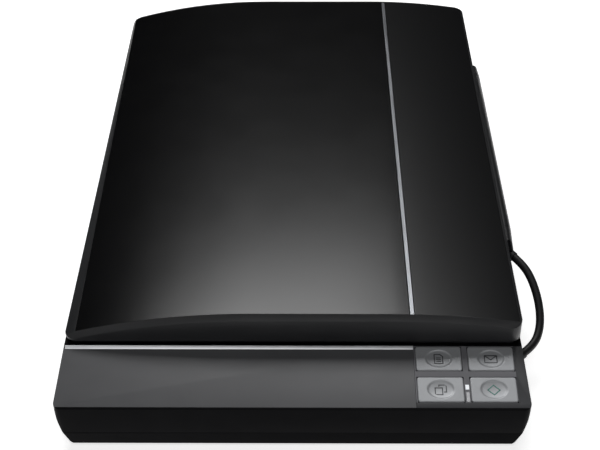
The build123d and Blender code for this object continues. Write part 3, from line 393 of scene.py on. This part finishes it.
def add_flex(finishes):
    """The carriage's flat cable: one fixed copy of its CAD shape, in the flex finish."""
    piece = bpy.data.objects.new("carriage_flex_ribbon", frame["nodes"]["carriage_flex"].data.copy())
    bpy.context.scene.collection.objects.link(piece)
    piece.data.materials.clear()
    piece.data.materials.append(finishes["flex_white"])
    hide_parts("carriage_flex")
    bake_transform(piece)


def crown(x, y):
    """Height of the lid's arched top, which falls a little towards the front."""
    crest = HEIGHT - LID_RISE * (LID_Y[1] - y) / (LID_Y[1] - LID_Y[0])
    if x < CROWN_LEFT_X:
        radius, run = CROWN_LEFT_RADIUS, CROWN_LEFT_X - x
    elif x > CROWN_RIGHT_X:
        radius, run = CROWN_RIGHT_RADIUS, x - CROWN_RIGHT_X
    else:
        return crest
    return crest - radius + math.sqrt(radius**2 - run**2)


def add_skin(finishes, node, x_front, x_back, columns):
    """One of the lid's three top skins: a fine curved sheet with rounded edges."""
    rows = SKIN_ROWS
    shape = bmesh.new()
    layers = []
    for drop in (0.0, SKIN):
        grid = []
        for row in range(rows + 1):
            t = row / rows
            y = SKIN_FRONT_Y + t * (SKIN_BACK_Y - SKIN_FRONT_Y)
            left = x_front[0] + t * (x_back[0] - x_front[0])
            right = x_front[1] + t * (x_back[1] - x_front[1])
            line = []
            for column in range(columns + 1):
                x = left + (right - left) * column / columns
                line.append(shape.verts.new((x * MM, y * MM, (crown(x, y) - drop) * MM)))
            grid.append(line)
        layers.append(grid)
    top, under = layers
    for row in range(rows):
        for column in range(columns):
            for near, far in ((top[row], top[row + 1]), (under[row + 1], under[row])):
                shape.faces.new([near[column], near[column + 1], far[column + 1], far[column]])
    for row in range(rows):
        shape.faces.new([top[row][0], top[row + 1][0], under[row + 1][0], under[row][0]])
        shape.faces.new([top[row + 1][-1], top[row][-1], under[row][-1], under[row + 1][-1]])
    for column in range(columns):
        shape.faces.new([top[0][column + 1], top[0][column], under[0][column], under[0][column + 1]])
        shape.faces.new([top[-1][column], top[-1][column + 1], under[-1][column + 1], under[-1][column]])
    mesh = bpy.data.meshes.new(node + "_skin")
    shape.to_mesh(mesh)
    shape.free()
    slot = SLOT_OF[node]
    piece = link_piece(node + "_skin", mesh, finishes[slot], "lid", [node])
    return bevelled(piece, SKIN_ROUNDING, 3)


def add_lid_skins(finishes):
    """The glossy panel, the silver strip and the textured side panel."""
    panel_right = STRIP_X[0] - SEAM
    add_skin(finishes, "lid_top_panel", (SKIN_LEFT_X[0], panel_right), (SKIN_LEFT_X[1], panel_right), 70)
    add_skin(finishes, "lid_silver_strip", STRIP_X, STRIP_X, 2)
    right = (STRIP_X[1] + SEAM, SKIN_RIGHT_X)
    add_skin(finishes, "lid_side_panel", right, right, 24)


# Buttons ------------------------------------------------------------------------------------------

SLOPE_MATRIX = Matrix.Translation(SLOPE_ORIGIN * MM) @ Matrix.Rotation(SLOPE, 4, "X")
KEY_CORNER = 1.5
KEY_EDGE = 0.35
KEY_COLUMNS = 64
KEY_ROWS = 44

# The oval finger dish: its half sizes and depth, how much of its reach is the steep rim, and how much
# of the depth that rim takes.
DISH_HALF = (8.1, 6.3)
DISH_DEPTH = 0.75
DISH_RIM = 0.12
DISH_RIM_SHARE = 0.45


def dish_depth(x, y):
    """Depth of a button's oval finger dish at a place on the button."""
    reach = math.hypot(x / DISH_HALF[0], y / DISH_HALF[1])
    if reach >= 1.0:
        return 0.0
    rim = min(1.0, (1.0 - reach) / DISH_RIM)
    return DISH_DEPTH * (DISH_RIM_SHARE * rim + (1.0 - DISH_RIM_SHARE) * (1.0 - reach**2))


def button_place(number):
    """Column and row centre of button 1 to 4: back row first, from the left."""
    column = (number - 1) % 2
    row = 1 - (number - 1) // 2
    return BUTTON_COLUMNS[column], BUTTON_ROWS[row]


def add_button(finishes, number):
    """A silver key with rounded edges, a finger dish and its stem."""
    centre_x, centre_y = button_place(number)
    half_x, half_y = BUTTON_SIZE[0] / 2, BUTTON_SIZE[1] / 2
    shape = bmesh.new()
    grid = []
    for row in range(KEY_ROWS + 1):
        line = []
        for column in range(KEY_COLUMNS + 1):
            x = (2 * column / KEY_COLUMNS - 1) * half_x
            y = (2 * row / KEY_ROWS - 1) * half_y
            over_x, over_y = abs(x) - (half_x - KEY_CORNER), abs(y) - (half_y - KEY_CORNER)
            rim = max(over_x, over_y) - KEY_CORNER
            if over_x > 0 and over_y > 0:
                reach = math.hypot(over_x, over_y)
                if reach > KEY_CORNER:
                    x -= math.copysign(over_x * (1 - KEY_CORNER / reach), x)
                    y -= math.copysign(over_y * (1 - KEY_CORNER / reach), y)
                rim = min(0.0, reach - KEY_CORNER)
            inside = min(1.0, -rim / KEY_EDGE)
            round_off = KEY_EDGE * (1 - math.sqrt(max(0.0, 1 - (1 - inside) ** 2)))
            z = BUTTON_PROUD - round_off - dish_depth(x, y)
            line.append(shape.verts.new((x, y, z)))
        grid.append(line)
    for near, far in zip(grid, grid[1:]):
        for column in range(KEY_COLUMNS):
            shape.faces.new([near[column], near[column + 1], far[column + 1], far[column]])
    rim_edges = [link for link in shape.edges if link.is_boundary]
    wall = bmesh.ops.extrude_edge_only(shape, edges=rim_edges)
    underside = BUTTON_PROUD - BUTTON_PLATE
    for vertex in [item for item in wall["geom"] if isinstance(item, bmesh.types.BMVert)]:
        vertex.co.z = underside
    bmesh.ops.holes_fill(shape, edges=[link for link in shape.edges if link.is_boundary])
    stem = bmesh.ops.create_cone(shape, cap_ends=True, segments=24, radius1=STEM_RADIUS,
                                 radius2=STEM_RADIUS, depth=STEM_LENGTH)
    bmesh.ops.translate(shape, verts=stem["verts"], vec=(0, 0, underside - STEM_LENGTH / 2))
    bmesh.ops.recalc_face_normals(shape, faces=shape.faces)
    place = SLOPE_MATRIX @ Matrix.Scale(MM, 4) @ Matrix.Translation((centre_x, centre_y, 0))
    shape.transform(place)
    mesh = bpy.data.meshes.new(f"button_{number}_key")
    shape.to_mesh(mesh)
    shape.free()
    for polygon in mesh.polygons:
        polygon.use_smooth = True
    mesh.set_sharp_from_angle(angle=math.radians(50))
    node = f"button_{number}"
    link_piece(node + "_key", mesh, finishes["button_silver"], node, [node])


def flat_shape(outlines, z_low, z_high):
    """A thin raised picture made of closed outlines."""
    shape = bmesh.new()
    for outline in outlines:
        lower = [shape.verts.new((x, y, z_low)) for x, y in outline]
        upper = [shape.verts.new((x, y, z_high)) for x, y in outline]
        shape.faces.new(upper)
        shape.faces.new(list(reversed(lower)))
        for index in range(len(outline)):
            after = (index + 1) % len(outline)
            shape.faces.new([lower[index], lower[after], upper[after], upper[index]])
    return shape


def stroke(start, end, width=0.6):
    """A straight line of a given width, as an outline."""
    run = Vector(end) - Vector(start)
    side = Vector((-run.y, run.x)).normalized() * width / 2
    lengthen = run.normalized() * width / 2
    low, high = Vector(start) - lengthen, Vector(end) + lengthen
    return [low - side, high - side, high + side, low + side]


def stroked(points, closed=True):
    """Strokes along a row of points."""
    ends = points[1:] + points[:1] if closed else points[1:]
    return [stroke(start, end) for start, end in zip(points, ends)]


# The bright line between strip and lid, in the slope's own directions (millimetres): which vertices
# are its top front edge, and how far that edge is lowered.
TRIM_ROUNDING = 0.15
TRIM_TOP_Z = 0.8
TRIM_FRONT_Y = 20.0
TRIM_LEAN = 0.75


def add_chrome_trim(finishes):
    """The bright line: its top leans forward, so it catches the light in front."""
    piece = rounded_copy(finishes, "front_chrome_trim", TRIM_ROUNDING)
    flat = SLOPE_MATRIX.inverted()
    for vertex in piece.data.vertices:
        place = flat @ vertex.co
        if place.z > TRIM_TOP_Z * MM and place.y < TRIM_FRONT_Y * MM:
            place.z -= TRIM_LEAN * MM
            vertex.co = SLOPE_MATRIX @ place


ICON_SUNK = 0.1
ICON_PROUD = 0.16


def icon_outlines(number):
    """Generic pictures: a page, an envelope, two sheets and a diamond."""
    if number == 1:
        page = [(-2.5, -3.2), (2.5, -3.2), (2.5, 1.8), (1.0, 3.2), (-2.5, 3.2)]
        lines = [stroke((-1.2, y), (1.2, y), 0.5) for y in (-1.6, -0.4, 0.8)]
        return stroked(page) + lines
    if number == 2:
        cover = [(-3.7, -2.5), (3.7, -2.5), (3.7, 2.5), (-3.7, 2.5)]
        return stroked(cover) + stroked([(-3.7, 2.5), (0.0, -0.4), (3.7, 2.5)], closed=False)
    if number == 3:
        front = [(-3.3, -3.2), (1.0, -3.2), (1.0, 1.4), (-3.3, 1.4)]
        back = [(-1.0, 2.4), (-1.0, 3.3), (3.3, 3.3), (3.3, -1.4), (2.1, -1.4)]
        return stroked(front) + stroked(back, closed=False)
    return stroked([(0.0, -3.3), (3.6, 0.0), (0.0, 3.3), (-3.6, 0.0)])


def add_icon(finishes, number):
    """The picture in a button's dish."""
    centre_x, centre_y = button_place(number)
    floor = BUTTON_PROUD - dish_depth(0, 0)
    shape = flat_shape(icon_outlines(number), floor - ICON_SUNK, floor + ICON_PROUD)
    shape.transform(SLOPE_MATRIX @ Matrix.Scale(MM, 4) @ Matrix.Translation((centre_x, centre_y, 0)))
    mesh = bpy.data.meshes.new(f"button_{number}_icon")
    shape.to_mesh(mesh)
    shape.free()
    finish = "icon_teal" if number == 4 else "icon_grey"
    link_piece(f"button_{number}_icon", mesh, finishes[finish], f"button_{number}")


# Deck marks ---------------------------------------------------------------------------------------


TICK_STEP = 10.0
TICK_GAP = 1.2
TICK_WIDTH = 0.3
TICK_REACH = 2.6
LONG_TICK_REACH = 5.0
LONG_TICK_EVERY = 5
MARK_SUNK = 0.02
MARK_PROUD = 0.04


def tick_reach(step):
    """Length of a ruler's tick, counted from its corner."""
    return LONG_TICK_REACH if step % LONG_TICK_EVERY == 0 else TICK_REACH


def add_scale_marks(finishes):
    """Plain ruler ticks along the left and back edges of the window, and the corner arrow."""
    outlines = []
    left, back = WINDOW_LEFT, WINDOW_BACK
    for step in range(int(WINDOW_DEPTH // TICK_STEP) + 1):
        y = back - TICK_STEP * step
        x = left - TICK_GAP
        outlines.append(stroke((x, y), (x - tick_reach(step), y), TICK_WIDTH))
    for step in range(int(WINDOW_WIDTH // TICK_STEP) + 1):
        x = left + TICK_STEP * step
        y = back + TICK_GAP
        outlines.append(stroke((x, y), (x, y + tick_reach(step)), TICK_WIDTH))
    outlines.append([(left - 7.0, back + 7.0), (left - 2.0, back + 5.4), (left - 5.4, back + 2.0)])
    shape = flat_shape(outlines, DECK_Z - MARK_SUNK, DECK_Z + MARK_PROUD)
    bmesh.ops.recalc_face_normals(shape, faces=shape.faces)
    shape.transform(Matrix.Scale(MM, 4))
    mesh = bpy.data.meshes.new("scale_marks")
    shape.to_mesh(mesh)
    shape.free()
    link_piece("scale_marks", mesh, finishes["scale_mark"], "base")


# Stage --------------------------------------------------------------------------------------------


# Each light's name, place, target, size (metres) and power (watts). The key and the top light are
# behind the scanner, the fill is in front of it and the last one is high at its left.
LIGHTS = [
    ("key", (-0.247, 0.995, 1.416), (0.0, 0.0, 0.06), (0.93, 0.41), 7.0),
    ("top", (0.0, 1.15, 2.40), (0.0, 0.0, 0.0), (1.8, 0.8), 27.0),
    ("front_fill", (0.3, -1.5, 2.2), (0.0, 0.0, 0.05), (2.4, 1.3), 14.0),
    ("left_high", (-1.1, -0.45, 1.6), (0.0, 0.0, 0.05), (0.8, 0.6), 2.0),
]
WHITE = (1.0, 1.0, 1.0, 1.0)
FLOOR_REACH = 40.0
FLOOR_COLOR = (0.88, 0.88, 0.88)
FLOOR_GLOW = 0.68
WORLD_STRENGTH = 0.004


def add_area_light(name, place, target, size, power):
    """A soft rectangular light aimed at a point."""
    data = bpy.data.lights.new(name, "AREA")
    data.shape = "RECTANGLE"
    data.size, data.size_y = size
    data.energy = power
    light = bpy.data.objects.new(name, data)
    light.location = place
    light.rotation_euler = (Vector(target) - Vector(place)).to_track_quat("-Z", "Y").to_euler()
    bpy.context.scene.collection.objects.link(light)


def add_floor():
    """A wide pale floor that also gives off some light of its own."""
    mesh = bpy.data.meshes.new("floor")
    reach = FLOOR_REACH
    corners = [(-reach, -reach, 0), (reach, -reach, 0), (reach, reach, 0), (-reach, reach, 0)]
    mesh.from_pydata(corners, [], [(0, 1, 2, 3)])
    floor = bpy.data.objects.new("floor", mesh)
    bpy.context.scene.collection.objects.link(floor)
    paper = Finish("floor_paper", FLOOR_COLOR, 0.9, Emission_Color=WHITE, Emission_Strength=FLOOR_GLOW)
    paper.mottle(3, 0.01)
    mesh.materials.append(paper.material)


def add_stage():
    """The floor, a faint white world and the four lights."""
    add_floor()
    world = bpy.data.worlds.new("studio")
    world.use_nodes = True
    background = world.node_tree.nodes["Background"]
    background.inputs["Color"].default_value = WHITE
    background.inputs["Strength"].default_value = WORLD_STRENGTH
    bpy.context.scene.world = world
    for light in LIGHTS:
        add_area_light(*light)
    bpy.context.scene.view_settings.view_transform = "Standard"


add_camera()
finishes = make_finishes()
dress_frame(finishes)
add_lid_skins(finishes)
for number in (1, 2, 3, 4):
    add_button(finishes, number)
    add_icon(finishes, number)
add_scale_marks(finishes)
add_chrome_trim(finishes)
add_flex(finishes)
for node, width in ROUNDED.items():
    rounded_copy(finishes, node, width)
plug = rounded_copy(finishes, "lid_cable_plug", 0.4)
gland = rounded_copy(finishes, "cable_gland", 0.3)
add_cable(finishes["cable_black"])
add_stage()
